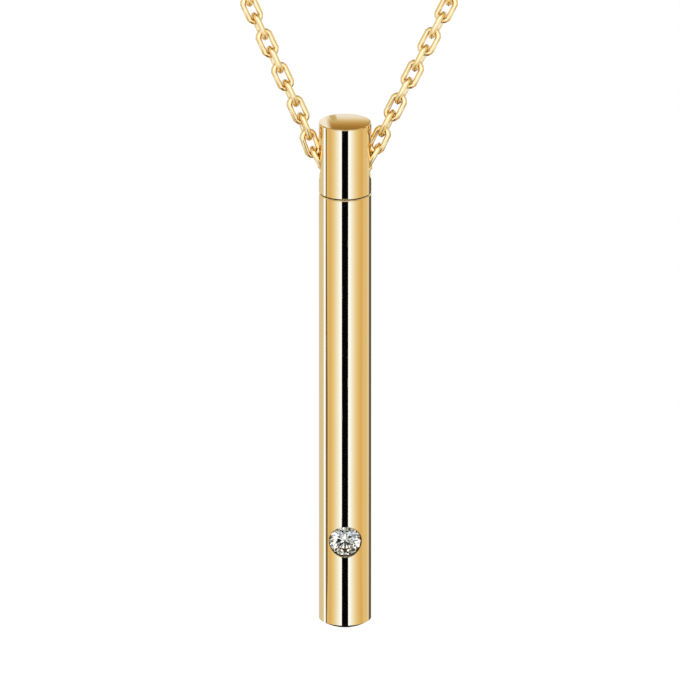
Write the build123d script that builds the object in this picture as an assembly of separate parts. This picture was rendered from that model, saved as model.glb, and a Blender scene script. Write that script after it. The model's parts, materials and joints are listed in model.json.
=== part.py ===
from build123d import *
import os
from math import cos, pi, radians, sin, tan

# Keepsake urn pendant on a cable chain, in millimetres.
# +Z is up, -Y is the front, and the origin is the nape, at the middle of the clasp.

# Bar: the cap above and the urn tube below, parted by a thin seam
BAR_D = 5.0
CAP_H = 7.0
SEAM_GAP = 0.1
TUBE_SIDE_H = 42.9
DOME_RISE = 0.8
EDGE_BREAK = 0.08

# Cross hole through the cap, which the chain runs through from side to side
HOLE_D = 2.0
HOLE_BELOW_TOP = 4.4
HOLE_BEVEL = 0.3

# Screw between the cap and the tube: a stud whose shank sits in the cap
SHANK_D = 2.6
SHANK_H = 1.05
THREAD_D = 3.4
THREAD_H = 3.3
RUNNING_GAP = 0.05
SHOULDER_GAP = 0.03
THREAD_RUNOUT = 0.6
THREAD_LEAD_IN = 0.2

# Chamber inside the tube
CHAMBER_D = 3.0
CHAMBER_FLOOR_ABOVE_STONE = 1.2
DRILL_POINT_H = 0.8

# Round brilliant stone, set flush in the front of the tube
STONE_D = 3.0
STONE_BELOW_TOP = 41.55
TABLE_RATIO = 0.57
CROWN_RATIO = 0.15
GIRDLE_RATIO = 0.03
PAVILION_RATIO = 0.43
LOWER_HALF_RATIO = 0.22
STONE_FACETS = 8
GIRDLE_Y = -1.95
SEAT_GAP = 0.04

# Cable chain link: a racetrack ring of flattened wire
LINK_L = 2.77
LINK_W = 1.54
WIRE_W = 0.35
WIRE_T = 0.38
LINK_PAIRS_A_SIDE = 60

# Course of the chain: a straight V from the cap, then a round neck loop that leans back
V_HALF_ANGLE = radians(22.5)
CHEST_H = 60.0
CHEST_BEND_R = 50.0
NECK_LEAN = radians(60)

# Clasp: one flat oval plate ring with a small eye
CLASP_L = 9.0
CLASP_W = 5.0
CLASP_BAND = 0.9
CLASP_T = 0.56
EYE_HOLE_D = 1.1
EYE_BAND = 0.85
EYE_TO_OVAL = 0.6
CLASP_SEAT_GAP = 0.47

# Heights in the bar's own frame, whose origin is the middle of the cross hole
CAP_TOP_Z = HOLE_BELOW_TOP
CAP_FOOT_Z = CAP_TOP_Z - CAP_H
TUBE_TOP_Z = CAP_FOOT_Z - SEAM_GAP
TUBE_RIM_Z = TUBE_TOP_Z - TUBE_SIDE_H
STONE_Z = CAP_TOP_Z - STONE_BELOW_TOP
STUD_FOOT_Z = CAP_FOOT_Z - SHOULDER_GAP - THREAD_H

# A link turns on two pairs of points: its end bars, and the centres of its round inner ends
INNER_END_R = LINK_W / 2 - WIRE_W
BAR_REACH = (LINK_L - WIRE_W) / 2
SEAT_REACH = LINK_L / 2 - WIRE_W - INNER_END_R
LINK_PITCH = BAR_REACH + SEAT_REACH

CLASP_RIGHT_SEAT = CLASP_L / 2 - CLASP_BAND - CLASP_SEAT_GAP
CLASP_EYE = CLASP_L / 2 + EYE_TO_OVAL
CLASP_SPAN = CLASP_RIGHT_SEAT + CLASP_EYE

# Half of the loop, from the middle of the cap to the middle of the clasp
V_START = BAR_REACH + 2 * SEAT_REACH
HALF_LOOP = BAR_REACH + 2 * LINK_PITCH * LINK_PAIRS_A_SIDE + CLASP_SPAN / 2
NECK_R = (HALF_LOOP - V_START + V_START / sin(V_HALF_ANGLE)) / (
    1 / tan(V_HALF_ANGLE) + pi / 2 + V_HALF_ANGLE
)
NECK_CENTRE = (NECK_R - V_START * cos(V_HALF_ANGLE)) / sin(V_HALF_ANGLE)
V_LENGTH = NECK_R / tan(V_HALF_ANGLE) - V_START / sin(V_HALF_ANGLE)


def on_loop(distance):
    """The point (x, height) of the flat right half of the loop, at a distance along it."""
    if distance <= V_START:
        return distance, 0.0
    run = distance - V_START
    if run <= V_LENGTH:
        return V_START + run * sin(V_HALF_ANGLE), run * cos(V_HALF_ANGLE)
    turn = (run - V_LENGTH) / NECK_R - V_HALF_ANGLE
    return NECK_R * cos(turn), NECK_CENTRE + NECK_R * sin(turn)


def lean_at(height):
    """How far the loop leans back from upright, at a height along its own face."""
    return min(max((height - CHEST_H) / CHEST_BEND_R, 0.0), NECK_LEAN)


def over_chest(x, height):
    """A point of the flat loop, bent back over the chest and neck, from the cross hole."""
    lean = lean_at(height)
    past = max(height - CHEST_H - CHEST_BEND_R * NECK_LEAN, 0.0)
    back = CHEST_BEND_R * (1 - cos(lean)) + past * sin(lean)
    up = min(height, CHEST_H) + CHEST_BEND_R * sin(lean) + past * cos(lean)
    return Vector(x, back, up)


CLASP_HEIGHT = on_loop(HALF_LOOP - CLASP_SPAN / 2)[1]
NAPE = over_chest(0, CLASP_HEIGHT)
HANG = Pos(0, -NAPE.Y, -NAPE.Z)


def upright(radius, low, high):
    """A round bar on the pendant's own axis, between two heights."""
    return Pos(0, 0, low) * Cylinder(radius, high - low, align=(Align.CENTER, Align.CENTER, Align.MIN))


def upright_cone(low_radius, high_radius, low, high):
    return Pos(0, 0, low) * Cone(
        low_radius, high_radius, high - low, align=(Align.CENTER, Align.CENTER, Align.MIN)
    )


def make_cap():
    cap = upright(BAR_D / 2, CAP_FOOT_Z, CAP_TOP_Z)
    cap = chamfer(cap.edges().filter_by(GeomType.CIRCLE), EDGE_BREAK)
    cap -= Rot(0, 90, 0) * Cylinder(HOLE_D / 2, 2 * BAR_D)
    mouth = upright_cone(
        HOLE_D / 2, HOLE_D / 2 + 2 * HOLE_BEVEL, BAR_D / 2 - HOLE_BEVEL, BAR_D / 2 + HOLE_BEVEL
    )
    cap -= Rot(0, 90, 0) * mouth
    cap -= Rot(0, -90, 0) * mouth
    socket_top = CAP_FOOT_Z + SHANK_H + RUNNING_GAP
    return cap - upright(SHANK_D / 2 + RUNNING_GAP, CAP_FOOT_Z - 1, socket_top)


def make_stud():
    shank = upright(SHANK_D / 2, CAP_FOOT_Z - THREAD_H / 2, CAP_FOOT_Z + SHANK_H)
    shoulder = CAP_FOOT_Z - SHOULDER_GAP
    thread = upright(THREAD_D / 2, STUD_FOOT_Z + THREAD_LEAD_IN, shoulder)
    tip = upright_cone(
        THREAD_D / 2 - THREAD_LEAD_IN, THREAD_D / 2, STUD_FOOT_Z, STUD_FOOT_Z + THREAD_LEAD_IN
    )
    return shank + thread + tip


def tube_blank():
    """The solid bar below the seam, with its shallow domed foot."""
    radius = BAR_D / 2
    dome_r = (radius**2 + DOME_RISE**2) / (2 * DOME_RISE)
    ball = Pos(0, 0, TUBE_RIM_Z - DOME_RISE + dome_r) * Sphere(dome_r)
    dome = ball & upright(BAR_D, TUBE_RIM_Z - 2 * DOME_RISE, TUBE_RIM_Z)
    side = upright(radius, TUBE_RIM_Z, TUBE_TOP_Z)
    mouth_edge = side.edges().filter_by(GeomType.CIRCLE).sort_by(Axis.Z)[-1]
    return chamfer(mouth_edge, EDGE_BREAK) + dome


def chamber():
    bore_r = THREAD_D / 2 + RUNNING_GAP
    bore_floor = STUD_FOOT_Z - THREAD_RUNOUT
    floor = STONE_Z + STONE_D / 2 + CHAMBER_FLOOR_ABOVE_STONE
    lead_in = upright_cone(bore_r, bore_r + THREAD_LEAD_IN, TUBE_TOP_Z - THREAD_LEAD_IN, TUBE_TOP_Z)
    point = upright_cone(CHAMBER_D / 8, CHAMBER_D / 2, floor - DRILL_POINT_H, floor)
    return (
        upright(bore_r, bore_floor, TUBE_TOP_Z)
        + lead_in
        + upright(CHAMBER_D / 2, floor, bore_floor)
        + point
    )


def stone_plane(y):
    """The plane across the stone's axis at a depth y, facing the front."""
    return Plane(origin=(0, y, STONE_Z), x_dir=(1, 0, 0), z_dir=(0, -1, 0))


def stone_seat():
    """The pocket that the stone sits in: a short bore, and a cone below its girdle."""
    seat_r = STONE_D / 2 + SEAT_GAP
    girdle_foot = GIRDLE_Y + GIRDLE_RATIO * STONE_D + SEAT_GAP
    depth = PAVILION_RATIO * STONE_D + SEAT_GAP
    bore = stone_plane(girdle_foot).location * Cylinder(
        seat_r, BAR_D, align=(Align.CENTER, Align.CENTER, Align.MIN)
    )
    cone = stone_plane(girdle_foot).location * Cone(
        STONE_D / 40, seat_r, depth, align=(Align.CENTER, Align.CENTER, Align.MAX)
    )
    return bore + cone


def make_tube():
    return tube_blank() - chamber() - stone_seat()


def polar(radius, steps, height):
    """A corner of the stone, at a number of half facets around its axis."""
    angle = steps * pi / STONE_FACETS
    return Vector(radius * cos(angle), radius * sin(angle), height)


def make_stone():
    """A round brilliant: table, stars, kites and halves above and below a thin girdle."""
    half_facet = pi / STONE_FACETS
    girdle_r = STONE_D / 2
    table_r = girdle_r * TABLE_RATIO
    crown_h = STONE_D * CROWN_RATIO
    girdle_foot = -STONE_D * GIRDLE_RATIO
    pavilion_h = STONE_D * PAVILION_RATIO
    star_r = (table_r * cos(half_facet) + girdle_r) / 2
    star_h = crown_h * (girdle_r - star_r * cos(half_facet)) / (girdle_r - table_r)
    lower_r = girdle_r * LOWER_HALF_RATIO
    lower_h = girdle_foot - pavilion_h * (1 - lower_r * cos(half_facet) / girdle_r)
    culet = Vector(0, 0, girdle_foot - pavilion_h)

    outlines = [[polar(table_r, 2 * i, crown_h) for i in range(STONE_FACETS)]]
    for i in range(0, 2 * STONE_FACETS, 2):
        star = polar(star_r, i + 1, star_h)
        lower = polar(lower_r, i + 1, lower_h)
        outlines.append([polar(table_r, i, crown_h), polar(table_r, i + 2, crown_h), star])
        outlines.append(
            [polar(table_r, i, crown_h), polar(star_r, i - 1, star_h), polar(girdle_r, i, 0), star]
        )
        outlines.append(
            [culet, polar(lower_r, i - 1, lower_h), polar(girdle_r, i, girdle_foot), lower]
        )
        for near, far in ((i, i + 1), (i + 1, i + 2)):
            above = [polar(girdle_r, near, 0), polar(girdle_r, far, 0)]
            below = [polar(girdle_r, far, girdle_foot), polar(girdle_r, near, girdle_foot)]
            outlines.append(above + [star])
            outlines.append(above + below)
            outlines.append(below + [lower])
    faces = [Face(Wire.make_polygon(corners, close=True)) for corners in outlines]
    return stone_plane(GIRDLE_Y).location * Solid(Shell(faces))


def link_blank():
    """One chain link, lying flat along X."""
    ring = SlotOverall(LINK_L, LINK_W) - SlotOverall(LINK_L - 2 * WIRE_W, LINK_W - 2 * WIRE_W)
    return extrude(ring, amount=WIRE_T / 2, both=True)


def chain_pivots():
    """Distances along half of the loop where its links turn on each other."""
    pivots = [BAR_REACH]
    for _ in range(LINK_PAIRS_A_SIDE):
        pivots.append(pivots[-1] + 2 * SEAT_REACH)
        pivots.append(pivots[-1] + 2 * BAR_REACH)
    return pivots


def link_place(start, end, on_edge):
    """Where a link lies between two flat points of the loop, flat on the chest or on edge."""
    first, last = over_chest(*start), over_chest(*end)
    lean = lean_at((start[1] + end[1]) / 2)
    along = (last - first).normalized()
    outward = Vector(0, -cos(lean), sin(lean))
    across = outward.cross(along).normalized()
    facing = across if on_edge else along.cross(across)
    return Plane(origin=(first + last) / 2, x_dir=along, z_dir=facing).location


def make_chain():
    blank = link_blank()
    course = [on_loop(distance) for distance in chain_pivots()]
    first = course[0]
    links = [link_place((-first[0], first[1]), first, True) * blank]
    for i in range(len(course) - 1):
        on_edge = i % 2 == 1
        for side in (-1, 1):
            start = (side * course[i][0], course[i][1])
            end = (side * course[i + 1][0], course[i + 1][1])
            links.append(link_place(start, end, on_edge) * blank)
    return Compound(links)


def make_clasp():
    middle = CLASP_SPAN / 2 - CLASP_RIGHT_SEAT
    eye = middle - CLASP_EYE
    plate = Pos(middle, 0) * SlotOverall(CLASP_L, CLASP_W)
    plate += Pos(eye, 0) * Circle(EYE_HOLE_D / 2 + EYE_BAND)
    plate -= Pos(middle, 0) * SlotOverall(CLASP_L - 2 * CLASP_BAND, CLASP_W - 2 * CLASP_BAND)
    plate -= Pos(eye, 0) * Circle(EYE_HOLE_D / 2)
    clasp = extrude(plate, amount=CLASP_T / 2, both=True)
    outward = (0, -cos(NECK_LEAN), sin(NECK_LEAN))
    return Plane(origin=(NAPE.X, NAPE.Y, NAPE.Z), x_dir=(1, 0, 0), z_dir=outward).location * clasp


PIECES = {
    "cap": make_cap,
    "thread_stud": make_stud,
    "urn_tube": make_tube,
    "stone": make_stone,
    "chain": make_chain,
    "clasp": make_clasp,
}


def main():
    os.makedirs("parts", exist_ok=True)
    for node, make in PIECES.items():
        export_step(HANG * make(), f"parts/{node}.step")
    print(f"loop length {2 * HALF_LOOP:.1f} mm, neck radius {NECK_R:.2f} mm, pitch {LINK_PITCH:.3f} mm")
    print(f"cross hole at {-NAPE.Y:.2f}, {-NAPE.Z:.2f} mm from the nape")


main()
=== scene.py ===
import json
from math import cos, pi, radians, sin, tan

import bmesh
import bpy
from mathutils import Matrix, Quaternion, Vector


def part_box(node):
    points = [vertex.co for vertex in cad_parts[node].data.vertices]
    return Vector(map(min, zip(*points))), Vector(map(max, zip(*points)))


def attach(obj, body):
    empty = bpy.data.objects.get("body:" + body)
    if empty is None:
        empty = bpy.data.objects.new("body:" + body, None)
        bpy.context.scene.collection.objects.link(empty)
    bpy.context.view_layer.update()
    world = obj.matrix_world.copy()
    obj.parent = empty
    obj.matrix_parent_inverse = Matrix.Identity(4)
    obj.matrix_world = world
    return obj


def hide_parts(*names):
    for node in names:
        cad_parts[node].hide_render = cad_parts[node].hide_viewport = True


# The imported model, and its box before anything is added
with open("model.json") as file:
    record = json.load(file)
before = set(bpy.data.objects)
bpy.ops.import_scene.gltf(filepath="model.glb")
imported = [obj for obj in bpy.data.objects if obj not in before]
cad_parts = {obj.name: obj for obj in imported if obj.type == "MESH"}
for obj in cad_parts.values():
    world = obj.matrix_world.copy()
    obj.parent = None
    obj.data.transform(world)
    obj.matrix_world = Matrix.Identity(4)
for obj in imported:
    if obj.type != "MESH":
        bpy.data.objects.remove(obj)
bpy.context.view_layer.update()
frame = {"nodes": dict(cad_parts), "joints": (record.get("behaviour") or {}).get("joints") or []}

# Bar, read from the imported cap, tube and stone, in metres
MM = 0.001
CAP_LOW, CAP_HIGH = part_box("cap")
TUBE_LOW, TUBE_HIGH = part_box("urn_tube")
STONE_LOW, STONE_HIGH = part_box("stone")
STUD_LOW, STUD_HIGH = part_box("thread_stud")
JOINTS = {joint["name"]: joint for joint in frame["joints"]}
CROSS_HOLE = Vector(JOINTS["pendant_swing"]["pos_m"])
BAR_Y = CROSS_HOLE.y
BAR_R = (CAP_HIGH.x - CAP_LOW.x) / 2
STONE_MIDDLE = (STONE_LOW + STONE_HIGH) / 2
STONE_R = (STONE_HIGH.x - STONE_LOW.x) / 2
SEAT_R = STONE_R + 0.04 * MM
SEAM_Z = (CAP_LOW.z + TUBE_HIGH.z) / 2
HOLE_R = 1.0 * MM
HOLE_BEVEL_R = 1.25 * MM

# Links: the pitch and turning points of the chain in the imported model, and the real wire
CAD_LINK_L = 2.77 * MM
CAD_LINK_W = 1.54 * MM
CAD_WIRE_W = 0.35 * MM
LINK_PAIRS_A_SIDE = 60
LINK_L = 2.94 * MM
LINK_W = 1.68 * MM
WIRE_W = 0.47 * MM
WIRE_T = 0.54 * MM
LINK_STEPS = 12
WIRE_SIDES = 6

# How the strands hang by the cap, left (-1) and right (1), in millimetres from the cross hole:
# foot of the straight part, its angle from upright, and how far the cap pushes it out. Two links
# sit in the hole, hooked in its middle, and one stands in each mouth
STRANDS = {
    -1: {"foot_x": 1.785, "foot_z": -0.532, "angle": 23.6, "pushed": 0.33, "mouth_x": 2.50, "mouth_z": 0.62},
    1: {"foot_x": 1.834, "foot_z": -0.122, "angle": 26.1, "pushed": 0.11, "mouth_x": 2.62, "mouth_z": 0.95},
}
HOLE_LINK_X = 1.12 * MM
HOLE_LINK_ROLL = radians(45)
MOUTH_LINK_ANGLE = radians(29.5)
LINK_TWIST = radians(22)
LOOSE_UP_TO = (20 * MM, 60 * MM)

# Course of the chain: a straight V from the cap, then a round neck loop that leans back
V_HALF_ANGLE = radians(22.5)
CHEST_H = 60 * MM
CHEST_BEND_R = 50 * MM
NECK_LEAN = radians(60)

# Clasp at the nape: a flat oval plate ring with a small eye
CLASP_L = 9.0 * MM
CLASP_BAND = 0.9 * MM
CLASP_ROUNDING = 0.12 * MM
EYE_TO_OVAL = 0.6 * MM
CLASP_SEAT_GAP = 0.47 * MM

# Screw thread of the stud and of the tube's mouth
THREAD_PITCH = 0.5 * MM
THREAD_CREST_R = 1.7 * MM
THREAD_ROOT_R = 1.45 * MM
THREAD_RIDGE_R = 0.2 * MM
SHANK_R = 1.3 * MM
MOUTH_BORE_R = 1.75 * MM
MOUTH_RIDGE_R = 0.1 * MM
MOUTH_RIDGE_RISE = 0.035 * MM
MOUTH_LEAD_IN = 0.25 * MM
MOUTH_THREAD_H = 3.0 * MM

# Camera, at the photo's angle, and the studio about the pendant
CAMERA_LENS = 1200
SENSOR_W = 36
VIEW_WIDTH = 64.76 * MM
CAMERA_ELEVATION = radians(19.3)
AIM_SIDE = -0.476 * MM
AIM_BELOW_TOP = 21.955 * MM
TENT_R = 0.5
TENT_TOP = 0.4
FLOOR_Z = -0.62
FLOOR_SIDE = 30.0
ROOM_LIGHT = 1.1


class Link:
    """An output of a node. Sums and products of links and numbers add Math nodes."""

    def __init__(self, nodes, socket):
        self.nodes = nodes
        self.socket = socket

    def output(self, name):
        return Link(self.nodes, self.socket.node.outputs[name])

    def math(self, operation, *values):
        return self.nodes.make("ShaderNodeMath", {"operation": operation}, dict(enumerate(values)))

    def size(self):
        return self.math("ABSOLUTE", self)

    def sine(self):
        return self.math("SINE", self)

    def at_most(self, other):
        return self.math("MINIMUM", self, other)

    def sign(self):
        return self.math("SIGN", self)

    def __add__(self, other):
        return self.math("ADD", self, other)

    def __radd__(self, other):
        return self.math("ADD", other, self)

    def __sub__(self, other):
        return self.math("SUBTRACT", self, other)

    def __rsub__(self, other):
        return self.math("SUBTRACT", other, self)

    def __mul__(self, other):
        return self.math("MULTIPLY", self, other)

    def __rmul__(self, other):
        return self.math("MULTIPLY", other, self)

    def __truediv__(self, other):
        return self.math("DIVIDE", self, other)

    def __pow__(self, other):
        return self.math("POWER", self, other)

    def __rpow__(self, other):
        return self.math("POWER", other, self)


class Nodes:
    """The node tree of a material or of a modifier."""

    def __init__(self, tree):
        self.tree = tree

    def make(self, kind, settings=None, inputs=None, output=0):
        """One node: its settings come first, then the values or links of its sockets."""
        node = self.tree.nodes.new(kind)
        for name, value in (settings or {}).items():
            if name == "stops":
                set_stops(node.color_ramp, value)
            else:
                setattr(node, name, value)
        for name, value in (inputs or {}).items():
            if isinstance(value, Link):
                self.tree.links.new(value.socket, node.inputs[name])
            else:
                node.inputs[name].default_value = value
        return Link(self, node.outputs[output])

    def end(self, kind, socket, value):
        """The node that ends the tree."""
        node = self.tree.nodes.new(kind)
        self.tree.links.new(value.socket, node.inputs[socket])

    def place(self):
        """Sideways, deep and upright places on a piece, in metres from the bar's axis and the nape."""
        spot = self.make("ShaderNodeTexCoord", output="Object")
        parts = self.make("ShaderNodeSeparateXYZ", inputs={0: spot})
        return spot, parts, parts.output("Y") - BAR_Y, parts.output("Z")

    def angle(self, across, ahead):
        """The angle in degrees whose tangent is across over ahead."""
        turn = self.make("ShaderNodeMath", {"operation": "ARCTAN2"}, {0: across, 1: ahead})
        return turn * (180 / pi)

    def distance(self, across, across_middle, up, up_middle):
        """How far a place is from an axis, in the plane across it."""
        first = across - across_middle
        second = up - up_middle
        return (first * first + second * second) ** 0.5

    def between(self, value, low, high):
        """0 below low and 1 above high, smoothly."""
        return self.make(
            "ShaderNodeMapRange",
            {"interpolation_type": "SMOOTHSTEP"},
            {"Value": value, "From Min": low, "From Max": high},
        )

    def noise(self, spot, size, stretch=(1, 1, 1), detail=2.0, turn=(0, 0, 0)):
        """Cloudy noise with spots about as large as size, longer along an axis with a small stretch."""
        scaled = self.make(
            "ShaderNodeMapping", inputs={"Vector": spot, "Scale": stretch, "Rotation": turn}
        )
        return self.make(
            "ShaderNodeTexNoise", inputs={"Vector": scaled, "Scale": 1 / size, "Detail": detail}
        )

    def blend(self, share, first, second):
        return self.make(
            "ShaderNodeMix",
            {"data_type": "RGBA"},
            {"Factor": share, 6: first, 7: second},
            output=2,
        )

    def bump(self, height, normal=None):
        """A normal from a height in metres."""
        inputs = {"Strength": 1.0, "Distance": 1.0, "Height": height}
        if normal:
            inputs["Normal"] = normal
        return self.make("ShaderNodeBump", inputs=inputs)


def set_stops(ramp, stops):
    """Colours of a ramp, from rows of place, then red, green and blue."""
    while len(ramp.elements) > 1:
        ramp.elements.remove(ramp.elements[-1])
    for index, (position, colour) in enumerate(stops):
        element = ramp.elements[0] if index == 0 else ramp.elements.new(position)
        element.position = position
        element.color = (*colour, 1)


def new_material(name):
    """A material with one Principled shader, which is returned with its nodes."""
    material = bpy.data.materials.new(name)
    material.use_nodes = True
    nodes = Nodes(material.node_tree)
    shader = next(n for n in material.node_tree.nodes if n.type == "BSDF_PRINCIPLED")
    return material, nodes, shader


def feed(nodes, shader, **inputs):
    """Values or links for the shader's sockets, with underscores for spaces."""
    for name, value in inputs.items():
        socket = shader.inputs[name.replace("_", " ")]
        if isinstance(value, Link):
            nodes.tree.links.new(value.socket, socket)
        else:
            socket.default_value = value


# Gold tones, as the share of red, green and blue light that the metal sends back
BAR_GOLD = (0.93, 0.71, 0.36)
BAR_GOLD_DEEP = (0.92, 0.69, 0.33)
WORN_GOLD = (0.93, 0.76, 0.46)
CHAIN_GOLD = (0.95, 0.74, 0.37)
CHAIN_GOLD_DEEP = (0.93, 0.67, 0.27)
SCREW_GOLD = (0.86, 0.64, 0.31)
# Painted shade: the dark brown of the shadow in the stone's seat
SEAT_PAINTED_SHADE = (0.16, 0.08, 0.03)
# Painted light: a paler gold for the faces inside the seam's gap, which lightens the seam line
GAP_PAINTED_LIGHT_GOLD = (0.96, 0.86, 0.64)

# Pitch of the rings that turning leaves: on the cap's top and along the stud
TURNED_TOP_PITCH = 0.07 * MM
TURNED_STUD_PITCH = 0.06 * MM


def hairlines(nodes, spot, width, length, turn):
    """Sparse fine marks of polishing cloths, 1 on a mark and 0 beside it."""
    field = nodes.noise(spot, width, (1, 1, width / length), 1.0, turn)
    return nodes.between(field, 0.66, 0.74)


def bar_gold(name, turned_face):
    """Mirror polished gold plating: clouds, hairlines, worn edges, a painted shade round the stone's seat
    that is darker to the right, and paler gold painted in the seam's gap.
    """
    material, nodes, shader = new_material(name)
    spot, sideways, deep, upright = nodes.place()
    clouds = nodes.noise(spot, 3 * MM)
    smudges = nodes.between(nodes.noise(spot, 6 * MM, detail=4.0), 0.55, 0.75)
    marks = hairlines(nodes, spot, 0.08 * MM, 4 * MM, (0, 0, 0)) * 0.6
    radius = (sideways * sideways + deep * deep) ** 0.5
    from_seam = (upright - SEAM_Z).size()
    seam = 1 - nodes.between(from_seam, 0.05 * MM, 0.14 * MM)
    rim = nodes.between(radius, BAR_R - 0.1 * MM, BAR_R - 0.02 * MM) * nodes.between(
        upright, CAP_HIGH.z - 0.12 * MM, CAP_HIGH.z - 0.06 * MM
    )
    mouth = nodes.distance(deep, 0, upright, CROSS_HOLE.z)
    bevel = 1 - nodes.between(mouth, HOLE_BEVEL_R, HOLE_BEVEL_R + 0.1 * MM)
    bevel = bevel * nodes.between(mouth, HOLE_R - 0.1 * MM, HOLE_R)
    edges = seam + rim * 0.7 + bevel * 0.8
    colour = nodes.blend(clouds, BAR_GOLD + (1,), BAR_GOLD_DEEP + (1,))
    colour = nodes.blend(edges * 0.5, colour, WORN_GOLD + (1,))
    # Inside the seam's gap the faces are rough, as unpolished metal is, and their paler gold is painted
    # light that lifts the gap from black to a lighter brown
    unpolished_lit_gap = 1 - nodes.between(from_seam, 0.052 * MM, 0.056 * MM)
    colour = nodes.blend(unpolished_lit_gap, colour, GAP_PAINTED_LIGHT_GOLD + (1,))
    # Painted shade: a dark crescent on the front round the stone's seat, wider and darker to the right, in
    # patches, stands in for the seat's shadow; it is also a little rougher
    seat = nodes.distance(sideways, 0, upright, STONE_MIDDLE.z)
    reach = SEAT_R + (0.03 + sideways * (0.04 / STONE_R)) * MM
    seat_painted_shade = 1 - nodes.between(seat - reach, -0.03 * MM, 0.03 * MM)
    seat_painted_shade = seat_painted_shade * (1 - nodes.between(deep, -MM, 0))
    patchy = nodes.between(nodes.noise(spot, 0.4 * MM), 0.25, 0.5)
    side_share = nodes.between(sideways, -1.2 * MM, 1.2 * MM) * 0.65 + 0.25
    colour = nodes.blend(seat_painted_shade * patchy * side_share, colour, SEAT_PAINTED_SHADE + (1,))
    roughness = 0.03 + 0.02 * smudges + 0.05 * marks + 0.06 * edges
    roughness = roughness + 0.15 * seat_painted_shade + 0.3 * unpolished_lit_gap
    height = marks * (-0.0004 * MM)
    if turned_face:
        face = nodes.between(upright, CAP_HIGH.z - 0.02 * MM, CAP_HIGH.z - 0.01 * MM)
        rings = (radius * (2 * pi / TURNED_TOP_PITCH)).sine()
        crown = (radius / BAR_R) ** 2 * (-0.12 * MM)
        height = height + face * (rings * (0.0002 * MM) + crown)
        roughness = roughness + face * 0.02
    feed(
        nodes,
        shader,
        Base_Color=colour,
        Metallic=1.0,
        Roughness=roughness,
        Normal=nodes.bump(height),
    )
    return material


def chain_gold():
    """Bright yellow gold plating, a little different on each link."""
    material, nodes, shader = new_material("chain_gold_bright")
    spot, _, _, _ = nodes.place()
    tone = nodes.make("ShaderNodeAttribute", {"attribute_name": "link_tone"}, output="Fac")
    clouds = nodes.noise(spot, 0.5 * MM)
    colour = nodes.blend(tone * 0.5 + clouds * 0.5, CHAIN_GOLD + (1,), CHAIN_GOLD_DEEP + (1,))
    marks = hairlines(nodes, spot, 0.05 * MM, 0.8 * MM, (0.4, 0.3, 0))
    feed(
        nodes,
        shader,
        Base_Color=colour,
        Metallic=1.0,
        Roughness=0.10 + 0.06 * clouds + 0.08 * marks,
        Normal=nodes.bump(clouds * (0.012 * MM) - marks * (0.0006 * MM)),
    )
    return material


def clasp_gold():
    """The chain's gold, brushed along the plate."""
    material, nodes, shader = new_material("clasp_gold_brushed")
    spot, _, _, _ = nodes.place()
    grain = nodes.noise(spot, 0.05 * MM, (0.03, 1, 1), 3.0)
    clouds = nodes.noise(spot, 1.5 * MM)
    colour = nodes.blend(clouds, CHAIN_GOLD + (1,), CHAIN_GOLD_DEEP + (1,))
    feed(
        nodes,
        shader,
        Base_Color=colour,
        Metallic=1.0,
        Roughness=0.12 + 0.14 * grain,
        Normal=nodes.bump(grain * (0.002 * MM)),
    )
    return material


def screw_gold(name):
    """Machined gold plating with the fine rings of the lathe tool."""
    material, nodes, shader = new_material(name)
    spot, _, _, upright = nodes.place()
    rings = (upright * (2 * pi / TURNED_STUD_PITCH)).sine()
    clouds = nodes.noise(spot, 0.7 * MM)
    colour = nodes.blend(clouds, SCREW_GOLD + (1,), CHAIN_GOLD_DEEP + (1,))
    feed(
        nodes,
        shader,
        Base_Color=colour,
        Metallic=1.0,
        Roughness=0.16 + 0.12 * clouds,
        Normal=nodes.bump(rings * (0.0008 * MM)),
    )
    return material


def brilliant_stone():
    """Clear cut stone, with a breath of colour and faint polishing haze on its facets."""
    material, nodes, shader = new_material("clear_stone_brilliant")
    spot, _, _, _ = nodes.place()
    clouds = nodes.noise(spot, 0.9 * MM)
    haze = nodes.between(nodes.noise(spot, 0.3 * MM), 0.6, 0.8)
    feed(
        nodes,
        shader,
        Base_Color=nodes.blend(clouds, (0.99, 0.98, 0.96, 1), (0.97, 0.99, 0.97, 1)),
        Roughness=haze * 0.01,
        IOR=2.42,
        Transmission_Weight=1.0,
    )
    return material


def on_loop(distance, pitch):
    """The point (x, height) of the flat right half of the loop, at a distance along it."""
    if distance <= pitch["v_start"]:
        return distance, 0.0
    run = distance - pitch["v_start"]
    if run <= pitch["v_length"]:
        return pitch["v_start"] + run * sin(V_HALF_ANGLE), run * cos(V_HALF_ANGLE)
    turn = (run - pitch["v_length"]) / pitch["neck_r"] - V_HALF_ANGLE
    return pitch["neck_r"] * cos(turn), pitch["neck_centre"] + pitch["neck_r"] * sin(turn)


def loop_sizes():
    """The sizes of the whole loop, worked out from its links, clasp and V."""
    bar_reach = (CAD_LINK_L - CAD_WIRE_W) / 2
    seat_reach = (CAD_LINK_L - CAD_LINK_W) / 2
    clasp_right = CLASP_L / 2 - CLASP_BAND - CLASP_SEAT_GAP
    clasp_span = clasp_right + CLASP_L / 2 + EYE_TO_OVAL
    v_start = bar_reach + 2 * seat_reach
    half = bar_reach + 2 * (bar_reach + seat_reach) * LINK_PAIRS_A_SIDE + clasp_span / 2
    neck_r = (half - v_start + v_start / sin(V_HALF_ANGLE)) / (
        1 / tan(V_HALF_ANGLE) + pi / 2 + V_HALF_ANGLE
    )
    return {
        "bar_reach": bar_reach,
        "seat_reach": seat_reach,
        "clasp_middle": clasp_span / 2 - clasp_right,
        "v_start": v_start,
        "v_length": neck_r / tan(V_HALF_ANGLE) - v_start / sin(V_HALF_ANGLE),
        "neck_r": neck_r,
        "neck_centre": (neck_r - v_start * cos(V_HALF_ANGLE)) / sin(V_HALF_ANGLE),
    }


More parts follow.
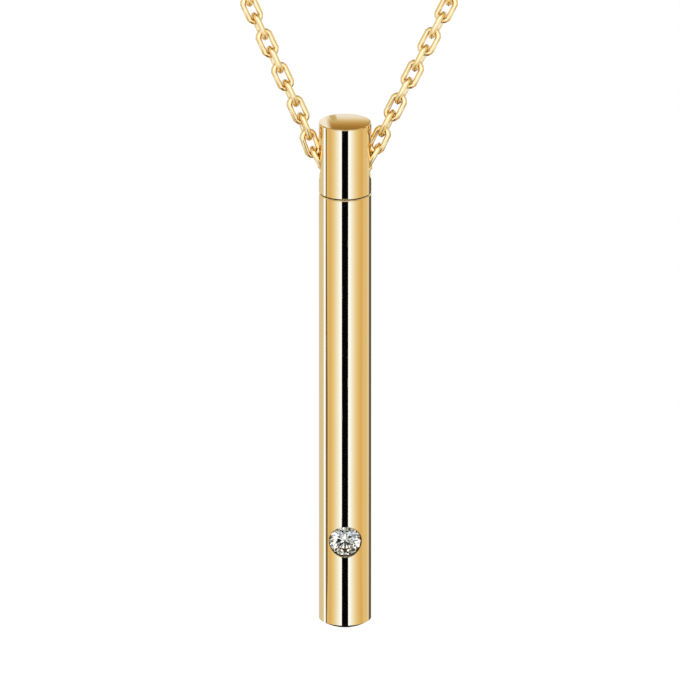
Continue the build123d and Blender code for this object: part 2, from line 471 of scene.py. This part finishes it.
def lean_at(height):
    """How far the loop leans back from upright, at a height along its own face."""
    return min(max((height - CHEST_H) / CHEST_BEND_R, 0.0), NECK_LEAN)


def over_chest(x, height):
    """A point of the flat loop, bent back over the chest and neck."""
    lean = lean_at(height)
    past = max(height - CHEST_H - CHEST_BEND_R * NECK_LEAN, 0.0)
    back = CHEST_BEND_R * (1 - cos(lean)) + past * sin(lean)
    up = min(height, CHEST_H) + CHEST_BEND_R * sin(lean) + past * cos(lean)
    return CROSS_HOLE + Vector((x, back, up))


def eased(value, low, high):
    """0 below low and 1 above high, smoothly."""
    share = min(max((value - low) / (high - low), 0.0), 1.0)
    return share * share * (3 - 2 * share)


def hung(x, height):
    """A point of the flat loop, moved to where its strand hangs, and bent over the chest."""
    side = 1 if x > 0 else -1
    strand = STRANDS[side]
    run = height / cos(V_HALF_ANGLE)
    angle = radians(strand["angle"])
    hung_z = strand["foot_z"] * MM + run * cos(angle)
    pushed = strand["pushed"] * MM * (1 - eased(hung_z, 1.5 * MM, 5 * MM))
    hung_x = side * (strand["foot_x"] * MM + run * sin(angle) + pushed)
    share = 1 - eased(height, *LOOSE_UP_TO)
    return over_chest(x + (hung_x - x) * share, height + (hung_z - height) * share)


def link_frame(side, start, end, on_edge):
    """Middle of a link, the way along it and the way its flat side faces."""
    first, last = hung(side * start[0], start[1]), hung(side * end[0], end[1])
    height = (start[1] + end[1]) / 2
    lean = lean_at(height)
    along = (last - first).normalized()
    outward = Vector((0, -cos(lean), sin(lean)))
    across = outward.cross(along).normalized()
    facing = across if on_edge else along.cross(across)
    facing.rotate(Quaternion(along, -side * LINK_TWIST * (1 - eased(height, *LOOSE_UP_TO))))
    return (first + last) / 2, along, facing


def lowest_frames(side):
    """The link in the cross hole and the one that stands in its mouth."""
    strand = STRANDS[side]
    rolled = Vector((0, -cos(HOLE_LINK_ROLL), side * sin(HOLE_LINK_ROLL)))
    in_hole = (over_chest(side * HOLE_LINK_X, 0), Vector((1, 0, 0)), rolled)
    along = Vector((side * sin(MOUTH_LINK_ANGLE), 0, cos(MOUTH_LINK_ANGLE)))
    place = over_chest(side * strand["mouth_x"] * MM, strand["mouth_z"] * MM)
    return [in_hole, (place, along, along.cross(Vector((0, -1, 0))))]


def link_frames():
    """Every link of the loop, from the cross hole up both sides to the clasp."""
    sizes = loop_sizes()
    distances = [sizes["bar_reach"]]
    for _ in range(LINK_PAIRS_A_SIDE):
        distances.append(distances[-1] + 2 * sizes["seat_reach"])
        distances.append(distances[-1] + 2 * sizes["bar_reach"])
    course = [on_loop(distance, sizes) for distance in distances]
    frames = []
    for side in (-1, 1):
        frames += lowest_frames(side)
        for i in range(2, len(course) - 1):
            frames.append(link_frame(side, course[i], course[i + 1], i % 2 == 1))
    return frames


def new_tree(name, sizes):
    """A Geometry Nodes tree with a geometry in and out, and named sizes, seeds and a material."""
    tree = bpy.data.node_groups.new(name, "GeometryNodeTree")
    tree.interface.new_socket("Geometry", in_out="OUTPUT", socket_type="NodeSocketGeometry")
    tree.interface.new_socket("Geometry", in_out="INPUT", socket_type="NodeSocketGeometry")
    for label, kind in sizes.items():
        tree.interface.new_socket(label, in_out="INPUT", socket_type=kind)
    nodes = Nodes(tree)
    entry = nodes.make("NodeGroupInput")
    return nodes, entry


def finish_tree(nodes, entry, geometry):
    """Ends a tree with its material on plain mesh."""
    real = nodes.make("GeometryNodeRealizeInstances", inputs={0: geometry})
    coated = nodes.make(
        "GeometryNodeSetMaterial", inputs={"Geometry": real, "Material": entry.output("Material")}
    )
    nodes.end("NodeGroupOutput", 0, coated)


def grown(name, mesh, nodes, values):
    """The plain mesh that a tree makes from a start mesh with the given values."""
    start = bpy.data.objects.new(name + "_start", mesh)
    bpy.context.scene.collection.objects.link(start)
    modifier = start.modifiers.new(name, "NODES")
    modifier.node_group = nodes.tree
    for item in nodes.tree.interface.items_tree:
        if item.in_out == "INPUT" and item.name in values:
            modifier[item.identifier] = values[item.name]
    bpy.context.view_layer.update()
    evaluated = start.evaluated_get(bpy.context.evaluated_depsgraph_get())
    made = bpy.data.meshes.new_from_object(evaluated)
    start.modifiers.remove(modifier)
    bpy.data.objects.remove(start)
    made.name = name
    piece = bpy.data.objects.new(name, made)
    bpy.context.scene.collection.objects.link(piece)
    return piece


def drawn_out_ring(nodes, length, width):
    """A closed curve with straight sides and round ends."""
    turn = pi / LINK_STEPS
    ring = nodes.make(
        "GeometryNodeCurvePrimitiveCircle",
        {"mode": "RADIUS"},
        {"Resolution": LINK_STEPS, "Radius": width / (2 * cos(turn))},
    )
    turned = nodes.make("GeometryNodeTransform", inputs={"Geometry": ring, "Rotation": (0, 0, turn)})
    spot = nodes.make("GeometryNodeInputPosition")
    parts = nodes.make("ShaderNodeSeparateXYZ", inputs={0: spot})
    drawn = nodes.make("ShaderNodeCombineXYZ", inputs={"X": parts.sign() * ((length - width) / 2)})
    return nodes.make("GeometryNodeSetPosition", inputs={"Geometry": turned, "Offset": drawn})


def flattened_wire(nodes, width, thickness):
    """A closed six-sided curve, with a flat to the outside and one to the inside of the link."""
    turn = pi / WIRE_SIDES
    ring = nodes.make(
        "GeometryNodeCurvePrimitiveCircle", {"mode": "RADIUS"}, {"Resolution": WIRE_SIDES, "Radius": 0.5}
    )
    turned = nodes.make("GeometryNodeTransform", inputs={"Geometry": ring, "Rotation": (0, 0, turn)})
    size = nodes.make("ShaderNodeCombineXYZ", inputs={"X": width / cos(turn), "Y": thickness, "Z": 1.0})
    return nodes.make("GeometryNodeTransform", inputs={"Geometry": turned, "Scale": size})


def chain_tree():
    """Links of flattened wire, one on each point of the course."""
    nodes, entry = new_tree(
        "cable_links",
        {
            "Link length": "NodeSocketFloat",
            "Link width": "NodeSocketFloat",
            "Wire width": "NodeSocketFloat",
            "Wire thickness": "NodeSocketFloat",
            "Tone seed": "NodeSocketInt",
            "Material": "NodeSocketMaterial",
        },
    )
    wire_w = entry.output("Wire width")
    middle = drawn_out_ring(
        nodes, entry.output("Link length") - wire_w, entry.output("Link width") - wire_w
    )
    wire = flattened_wire(nodes, wire_w, entry.output("Wire thickness"))
    link = nodes.make("GeometryNodeCurveToMesh", inputs={"Curve": middle, "Profile Curve": wire})
    link = nodes.make("GeometryNodeSetShadeSmooth", inputs={"Geometry": link})
    along = nodes.make(
        "GeometryNodeInputNamedAttribute", {"data_type": "FLOAT_VECTOR"}, {"Name": "along"}
    )
    facing = nodes.make(
        "GeometryNodeInputNamedAttribute", {"data_type": "FLOAT_VECTOR"}, {"Name": "facing"}
    )
    lengthways = nodes.make(
        "FunctionNodeAlignRotationToVector", {"axis": "X"}, {"Vector": along}
    )
    turned = nodes.make(
        "FunctionNodeAlignRotationToVector",
        {"axis": "Z", "pivot_axis": "X"},
        {"Rotation": lengthways, "Vector": facing},
    )
    links = nodes.make(
        "GeometryNodeInstanceOnPoints",
        inputs={"Points": entry.output("Geometry"), "Instance": link, "Rotation": turned},
    )
    tone = nodes.make(
        "FunctionNodeRandomValue", {"data_type": "FLOAT"}, {"Seed": entry.output("Tone seed")}, output=1
    )
    toned = nodes.make(
        "GeometryNodeStoreNamedAttribute",
        {"data_type": "FLOAT", "domain": "INSTANCE"},
        {"Geometry": links, "Name": "link_tone", "Value": tone},
    )
    finish_tree(nodes, entry, toned)
    return nodes


def cable_chain(material):
    """The whole chain, link in link round the loop."""
    frames = link_frames()
    mesh = bpy.data.meshes.new("link_course")
    mesh.from_pydata([place for place, _, _ in frames], [], [])
    for name, column in (("along", 1), ("facing", 2)):
        attribute = mesh.attributes.new(name, "FLOAT_VECTOR", "POINT")
        attribute.data.foreach_set("vector", [c for row in frames for c in row[column]])
    chain = grown(
        "cable_chain",
        mesh,
        chain_tree(),
        {
            "Link length": LINK_L,
            "Link width": LINK_W,
            "Wire width": WIRE_W,
            "Wire thickness": WIRE_T,
            "Tone seed": 5,
            "Material": material,
        },
    )
    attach(chain, "neck_chain")
    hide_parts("chain")


def finished_piece(name, mesh, material, body, node):
    """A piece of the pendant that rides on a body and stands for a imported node."""
    mesh.materials.clear()
    mesh.materials.append(material)
    piece = bpy.data.objects.new(name, mesh)
    bpy.context.scene.collection.objects.link(piece)
    mesh.shade_smooth()
    mesh.set_sharp_from_angle(angle=radians(35))
    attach(piece, body)
    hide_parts(node)


def rounded_clasp(material):
    """The clasp's flat oval ring and its eye, with rounded edges."""
    shape = bmesh.new()
    shape.from_mesh(frame["nodes"]["clasp"].data)
    bmesh.ops.remove_doubles(shape, verts=shape.verts, dist=0.0001 * MM)
    bmesh.ops.dissolve_limit(shape, angle_limit=radians(1), verts=shape.verts, edges=shape.edges)
    rims = [e for e in shape.edges if e.is_manifold and e.calc_face_angle() > radians(60)]
    bmesh.ops.bevel(
        shape,
        geom=rims,
        offset=CLASP_ROUNDING,
        segments=3,
        profile=0.5,
        affect="EDGES",
        clamp_overlap=True,
    )
    mesh = bpy.data.meshes.new("rounded_clasp")
    shape.to_mesh(mesh)
    shape.free()
    finished_piece("rounded_clasp", mesh, material, "neck_chain", "clasp")


def turned_core(material):
    """The stud without its thread: a shank for the cap, a root and a pointed tip, turned in one."""
    shoulder = CAP_LOW.z - 0.03 * MM
    profile = [
        (0, STUD_LOW.z),
        (THREAD_ROOT_R - 0.25 * MM, STUD_LOW.z),
        (THREAD_ROOT_R, STUD_LOW.z + 0.25 * MM),
        (THREAD_ROOT_R, shoulder - 0.15 * MM),
        (SHANK_R, shoulder),
        (SHANK_R, STUD_HIGH.z - 0.12 * MM),
        (SHANK_R - 0.12 * MM, STUD_HIGH.z),
        (0, STUD_HIGH.z),
    ]
    shape = bmesh.new()
    corners = [shape.verts.new((radius, BAR_Y, height)) for radius, height in profile]
    lines = [shape.edges.new(pair) for pair in zip(corners, corners[1:])]
    bmesh.ops.spin(
        shape, geom=corners + lines, cent=(0, BAR_Y, 0), axis=(0, 0, 1), angle=2 * pi, steps=64
    )
    bmesh.ops.remove_doubles(shape, verts=shape.verts, dist=0.001 * MM)
    bmesh.ops.recalc_face_normals(shape, faces=shape.faces)
    mesh = bpy.data.meshes.new("stud_core")
    shape.to_mesh(mesh)
    shape.free()
    finished_piece("stud_core", mesh, material, "stud_body", "thread_stud")


def thread_tree():
    """A right-handed ridge of round wire, wound up a screw or a bore and thin at both ends."""
    nodes, entry = new_tree(
        "screw_ridge",
        {
            "Winding radius": "NodeSocketFloat",
            "Turns": "NodeSocketFloat",
            "Height": "NodeSocketFloat",
            "Ridge radius": "NodeSocketFloat",
            "Foot": "NodeSocketVector",
            "Material": "NodeSocketMaterial",
        },
    )
    radius = entry.output("Winding radius")
    winding = nodes.make(
        "GeometryNodeCurveSpiral",
        inputs={
            "Resolution": 40,
            "Rotations": entry.output("Turns"),
            "Start Radius": radius,
            "End Radius": radius,
            "Height": entry.output("Height"),
            "Reverse": True,
        },
    )
    along = nodes.make("GeometryNodeSplineParameter")
    run_out = (along * entry.output("Turns") * 2).at_most((1 - along) * entry.output("Turns") * 2)
    winding = nodes.make(
        "GeometryNodeSetCurveRadius", inputs={"Curve": winding, "Radius": run_out.at_most(1.0)}
    )
    wire = nodes.make(
        "GeometryNodeCurvePrimitiveCircle",
        {"mode": "RADIUS"},
        {"Resolution": 8, "Radius": entry.output("Ridge radius")},
    )
    ridge = nodes.make(
        "GeometryNodeCurveToMesh", inputs={"Curve": winding, "Profile Curve": wire, "Fill Caps": True}
    )
    placed = nodes.make(
        "GeometryNodeTransform", inputs={"Geometry": ridge, "Translation": entry.output("Foot")}
    )
    finish_tree(nodes, entry, placed)
    return nodes


def thread_ridge(name, tree, radius, ridge_radius, low, high, material, body):
    """One thread between two heights."""
    mesh = bpy.data.meshes.new(name + "_foot")
    values = {
        "Winding radius": radius,
        "Turns": (high - low) / THREAD_PITCH,
        "Height": high - low,
        "Ridge radius": ridge_radius,
        "Foot": (0, BAR_Y, low),
        "Material": material,
    }
    ridge = grown(name, mesh, tree, values)
    ridge.data.shade_smooth()
    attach(ridge, body)


def screw_threads(stud_material, tube_material):
    """The stud's thread and, on its own winding, the thread in the tube's mouth."""
    tree = thread_tree()
    thread_ridge(
        "stud_thread",
        tree,
        THREAD_CREST_R - THREAD_RIDGE_R,
        THREAD_RIDGE_R,
        STUD_LOW.z + 0.3 * MM,
        CAP_LOW.z - 0.35 * MM,
        stud_material,
        "stud_body",
    )
    thread_ridge(
        "mouth_thread",
        tree,
        MOUTH_BORE_R - MOUTH_RIDGE_RISE + MOUTH_RIDGE_R,
        MOUTH_RIDGE_R,
        TUBE_HIGH.z - MOUTH_LEAD_IN - MOUTH_THREAD_H,
        TUBE_HIGH.z - MOUTH_LEAD_IN,
        tube_material,
        "tube_body",
    )


def flat_material(name):
    """A material for a studio card, which only sends out light, with its empty nodes."""
    material = bpy.data.materials.new(name)
    material.use_nodes = True
    material.node_tree.nodes.clear()
    nodes = Nodes(material.node_tree)
    return material, nodes


def shine(nodes, colour, strength):
    """Ends a card's material with its light."""
    light = nodes.make("ShaderNodeEmission", inputs={"Color": colour, "Strength": strength})
    nodes.end("ShaderNodeOutputMaterial", "Surface", light)


def card_ramp(nodes, value, low, high, rows):
    """Stops of light and warmth from rows of place, stops and warmth."""
    darkest, brightest = STOPS_RANGE
    stops = [
        ((place - low) / (high - low), ((light - darkest) / (brightest - darkest), warmth, 0))
        for place, light, warmth in rows
    ]
    ramp = nodes.make("ShaderNodeValToRGB", {"stops": stops}, {"Fac": (value - low) / (high - low)})
    parts = nodes.make("ShaderNodeSeparateColor", inputs={"Color": ramp})
    return parts * (brightest - darkest) + darkest, parts.output("Green")


def crossfade(share, first, second):
    """Stops and warmth that go from the first pair to the second as the share grows."""
    return tuple(a + (b - a) * share for a, b in zip(first, second))


def stage_piece(name, points, faces, material, seen_by):
    """A floor or card, which isn't part of the pendant, seen only by some kinds of light ray."""
    mesh = bpy.data.meshes.new(name)
    mesh.from_pydata(points, [], faces)
    mesh.materials.append(material)
    piece = bpy.data.objects.new(name, mesh)
    bpy.context.scene.collection.objects.link(piece)
    for ray in ("camera", "diffuse", "glossy", "transmission", "shadow"):
        setattr(piece, "visible_" + ray, ray in seen_by)


def studio_floor():
    """A plain pale floor, far enough below that the pendant throws no shadow in view."""
    material, nodes, shader = new_material("pale_floor")
    feed(nodes, shader, Base_Color=(0.93, 0.93, 0.93, 1), Roughness=0.9)
    half = FLOOR_SIDE / 2
    corners = [(x * half, y * half, FLOOR_Z) for x, y in ((-1, -1), (1, -1), (1, 1), (-1, 1))]
    rays = ("camera", "diffuse", "glossy", "transmission", "shadow")
    stage_piece("floor", corners, [(0, 1, 2, 3)], material, rays)


# Light of the cards, in stops above or below plain white paper. Warmth goes from 0, cool, to 1, amber
STOPS_RANGE = (-5.0, 3.0)
COOL_GREEN = 1.3
AMBER_GREEN = 0.6
BLUE_POWER = 3.4

# Ring of cards below eye height that the upright polish shows: azimuth in degrees, 0 in front
# and up to the right, then stops and warmth
RING_CARDS = [
    (-180, -0.50, 0.38),
    (-150, -0.50, 0.42),
    (-130, -0.42, 0.50),
    (-112, -0.35, 0.44),
    (-108, -0.30, 0.34),
    (-107, 0.12, 0.03),
    (-94, 0.12, 0.03),
    (-93.5, -0.35, 0.66),
    (-80, -0.35, 0.66),
    (-70, -0.38, 0.76),
    (-60, -0.26, 0.66),
    (-46, -0.16, 0.45),
    (-35, -0.05, 0.24),
    (-27, 0.02, 0.12),
    (-21, 0.12, 0.03),
    (-15, 0.12, 0.00),
    (-11, 0.0, 0.20),
    (11, 0.0, 0.20),
    (15, 0.12, 0.00),
    (21, 0.12, 0.03),
    (27, 0.02, 0.12),
    (35, -0.05, 0.24),
    (46, -0.16, 0.45),
    (57, -0.24, 0.62),
    (70, -0.34, 0.76),
    (81, -0.52, 0.74),
    (90, -0.30, 0.64),
    (108, -0.34, 0.60),
    (119, -0.24, 0.48),
    (130, -0.35, 0.42),
]
RING_FOOT = (-32, -28)
RING_TOP = (-11, -7)

# Cards above and below the ring: elevation in degrees from the bar's middle, stops and warmth
FRONT_CARDS = [
    (-90, -1.0, 1.0),
    (-62, -0.7, 1.0),
    (-48, -0.45, 0.8),
    (-36, -0.05, 0.4),
    (-25, 0.12, 0.25),
    (10, 0.3, 0.2),
    (58, 0.3, 0.2),
    (70, -0.4, 0.5),
    (80, -1.8, 0.7),
    (90, -2.4, 0.7),
]
SIDE_CARDS = [
    (-90, -1.0, 1.0),
    (-62, -0.6, 0.9),
    (-48, -0.1, 0.45),
    (-28, 0.15, 0.15),
    (-12, -0.05, 0.4),
    (5, -0.25, 0.55),
    (40, -0.35, 0.6),
    (62, -0.9, 0.65),
    (90, -2.4, 0.7),
]
BACK_CARDS = [
    (-90, -1.0, 1.0),
    (-64, -0.8, 0.9),
    (-57, -0.3, 0.45),
    (-24, -0.3, 0.45),
    (-4, -0.1, 0.3),
    (12, -0.14, 0.3),
    (15.2, -0.14, 0.3),
    (17.9, -0.27, 0.5),
    (20.6, -0.58, 0.67),
    (23.3, -0.9, 0.84),
    (26, -1.17, 0.93),
    (29, -1.5, 0.97),
    (34, -1.7, 0.97),
    (50, -2.0, 0.8),
    (90, -2.4, 0.7),
]
SIDE_TURN = (40, 75)
BACK_TURN = (125, 150)

# Upright cards close to the bar, in millimetres from its axis and from the cap's top: the ends
# of the card seen from above (x, y), its low and high edge, then stops and warmth
NEAR_CARDS = {
    "black_flag": ((-4.1, -17.5), (4.1, -17.5), -76, -5.1, -9, 0.5),
    "left_dark_card": ((-17.5, -2.35), (-17.5, -0.38), -76, -5.1, -2.6, 0.6),
    "right_dark_card": ((2.4, 15), (20.3, 15), -76, -5.3, -2.9, 0.53),
    "pale_back_card": ((-5, 20), (-2.5, 20), 2, 13, -0.03, 0.28),
    "olive_back_card": ((-2.1, 22), (-1.2, 22), 3.3, 7.7, -0.7, 0.68),
    "olive_right_card": ((3.6, 20), (7, 20), 2, 13, -1.2, 0.8),
}

# Dark card that lies under the foot, in millimetres from the axis and below the foot
UNDER_CARD_HALF_W = 6
UNDER_CARD_Y = (1, 24)
UNDER_CARD_BELOW = 8
UNDER_CARD_STOPS = -7
UNDER_CARD_WARMTH = 0.5

# What the stone gathers: greys from white to nearly black in patches, as stops of noise
STONE_ROOM_R = 0.3
STONE_PATCH = 0.2
STONE_LIGHTS = [
    (0.0, (0.02, 0.02, 0.015)),
    (0.40, (0.03, 0.03, 0.025)),
    (0.42, (0.55, 0.60, 0.55)),
    (0.50, (0.80, 0.85, 0.78)),
    (0.53, (1.55, 1.5, 1.45)),
    (1.0, (1.7, 1.6, 1.55)),
]


def tent_light():
    """Light of the whole tent, worked out from the way that each place is seen from the bar."""
    material, nodes = flat_material("tent_light")
    _, sideways, deep, upright = nodes.place()
    azimuth = nodes.angle(sideways, 0 - deep)
    distance = (sideways * sideways + deep * deep) ** 0.5
    elevation = nodes.angle(upright - (CAP_HIGH.z + TUBE_LOW.z) / 2, distance)
    turned = azimuth.size()
    cards = card_ramp(nodes, elevation, -90, 90, FRONT_CARDS)
    side_cards = card_ramp(nodes, elevation, -90, 90, SIDE_CARDS)
    cards = crossfade(nodes.between(turned, *SIDE_TURN), cards, side_cards)
    back_cards = card_ramp(nodes, elevation, -90, 90, BACK_CARDS)
    cards = crossfade(nodes.between(turned, *BACK_TURN), cards, back_cards)
    in_ring = nodes.between(elevation, *RING_FOOT) * (1 - nodes.between(elevation, *RING_TOP))
    stops, warmth = crossfade(in_ring, cards, card_ramp(nodes, azimuth, -180, 180, RING_CARDS))
    green = COOL_GREEN - warmth * (COOL_GREEN - AMBER_GREEN)
    tint = nodes.make(
        "ShaderNodeCombineColor", inputs={"Red": 1.0, "Green": green, "Blue": green**BLUE_POWER}
    )
    shine(nodes, tint, 2.0**stops)
    return material


def near_light(name, stops, warmth):
    """Light of one card close to the bar."""
    material, nodes = flat_material(name)
    green = COOL_GREEN - warmth * (COOL_GREEN - AMBER_GREEN)
    shine(nodes, (1, green, green**BLUE_POWER, 1), 2.0**stops)
    return material


def round_room(radius, steps):
    """Corners and faces of a closed round wall about the bar, from the floor to the tent's top."""
    turns = [2 * pi * i / steps for i in range(steps)]
    ring = [(radius * sin(turn), BAR_Y - radius * cos(turn)) for turn in turns]
    points = [(x, y, z) for z in (FLOOR_Z + MM, TENT_TOP) for x, y in ring]
    walls = [(i, (i + 1) % steps, steps + (i + 1) % steps, steps + i) for i in range(steps)]
    return points, walls + [tuple(range(steps)), tuple(range(steps, 2 * steps))]


def light_tent():
    """A round wall of soft cards about the pendant, with a ceiling, a table card and near cards."""
    stage_piece("light_tent", *round_room(TENT_R, 180), tent_light(), ("glossy",))
    for name, (left, right, low, high, stops, warmth) in NEAR_CARDS.items():
        corners = [
            (x * MM, BAR_Y + y * MM, CAP_HIGH.z + z * MM)
            for (x, y), z in ((left, low), (right, low), (right, high), (left, high))
        ]
        light = near_light(name + "_light", stops, warmth)
        stage_piece(name, corners, [(0, 1, 2, 3)], light, ("glossy",))
    near, far = UNDER_CARD_Y
    height = TUBE_LOW.z - UNDER_CARD_BELOW * MM
    ends = ((-1, near), (1, near), (1, far), (-1, far))
    corners = [(side * UNDER_CARD_HALF_W * MM, BAR_Y + y * MM, height) for side, y in ends]
    light = near_light("under_card_light", UNDER_CARD_STOPS, UNDER_CARD_WARMTH)
    stage_piece("under_card", corners, [(0, 1, 2, 3)], light, ("glossy",))


def stone_room():
    """Patchy greys all round, which only light that has passed through the stone shows."""
    material, nodes = flat_material("stone_room_light")
    spot, _, _, _ = nodes.place()
    patches = nodes.noise(spot, STONE_PATCH, detail=1.0)
    shine(nodes, nodes.make("ShaderNodeValToRGB", {"stops": STONE_LIGHTS}, {"Fac": patches}), 1.0)
    stage_piece("stone_room", *round_room(STONE_ROOM_R, 90), material, ("transmission",))


def studio_light():
    """Even white light from all round, for the floor and the backdrop."""
    world = bpy.data.worlds.new("white_room")
    world.use_nodes = True
    background = world.node_tree.nodes["Background"]
    background.inputs["Color"].default_value = (1, 1, 1, 1)
    background.inputs["Strength"].default_value = ROOM_LIGHT
    bpy.context.scene.world = world


def photo_camera():
    """A long lens in front of the pendant, looking down on it at the photo's angle."""
    data = bpy.data.cameras.new("camera")
    data.lens = CAMERA_LENS
    data.sensor_width = SENSOR_W
    distance = VIEW_WIDTH * CAMERA_LENS / SENSOR_W
    aim = Vector((AIM_SIDE, BAR_Y, CAP_HIGH.z - AIM_BELOW_TOP))
    back = Vector((0, -cos(CAMERA_ELEVATION), sin(CAMERA_ELEVATION)))
    data.clip_start = distance / 100
    data.clip_end = distance * 100
    camera = bpy.data.objects.new("camera", data)
    camera.location = aim + back * distance
    camera.rotation_euler = (pi / 2 - CAMERA_ELEVATION, 0, 0)
    bpy.context.scene.collection.objects.link(camera)
    bpy.context.scene.camera = camera


def coat(node, material):
    """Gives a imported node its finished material."""
    mesh = frame["nodes"][node].data
    mesh.materials.clear()
    mesh.materials.append(material)


bpy.context.scene.view_settings.view_transform = "Standard"
photo_camera()
studio_floor()
studio_light()
light_tent()
stone_room()
tube_gold = bar_gold("polished_gold_tube", False)
stud_gold = screw_gold("screw_gold_turned")
coat("cap", bar_gold("polished_gold_cap", True))
coat("urn_tube", tube_gold)
coat("stone", brilliant_stone())
turned_core(stud_gold)
screw_threads(stud_gold, tube_gold)
rounded_clasp(clasp_gold())
cable_chain(chain_gold())
